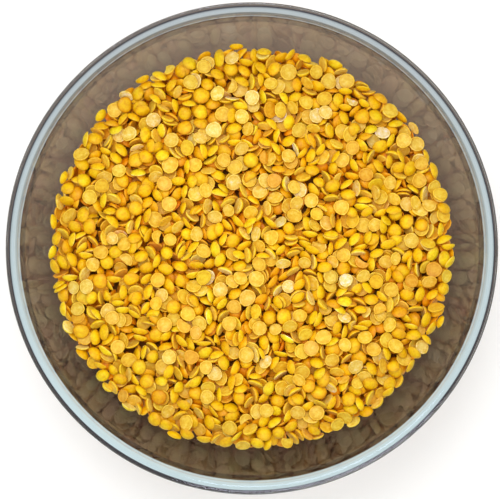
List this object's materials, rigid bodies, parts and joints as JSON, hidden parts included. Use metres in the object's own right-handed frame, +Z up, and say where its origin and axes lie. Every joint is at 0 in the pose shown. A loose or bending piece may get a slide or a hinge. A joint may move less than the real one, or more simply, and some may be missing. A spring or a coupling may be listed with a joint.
{
  "type": "bowl of split lentils",
  "caption": "Round clear glass bowl with a thick rim and a low foot, two thirds full of dry split yellow lentils in a loose, gently mounded heap.",
  "frame": {"origin": "middle of the ring the bowl stands on, level with the table", "axes": "+Z up along the bowl's axis; X and Y level, and alike because the bowl is round"},
  "size_m": [0.17, 0.17, 0.078],
  "materials": {
    "glass": "clear, smooth",
    "lentil": "dry seed, slightly glossy"
  },
  "bodies": {
    "root": {"bowl": "glass", "lentils": "lentil"}
  },
  "joints": []
}
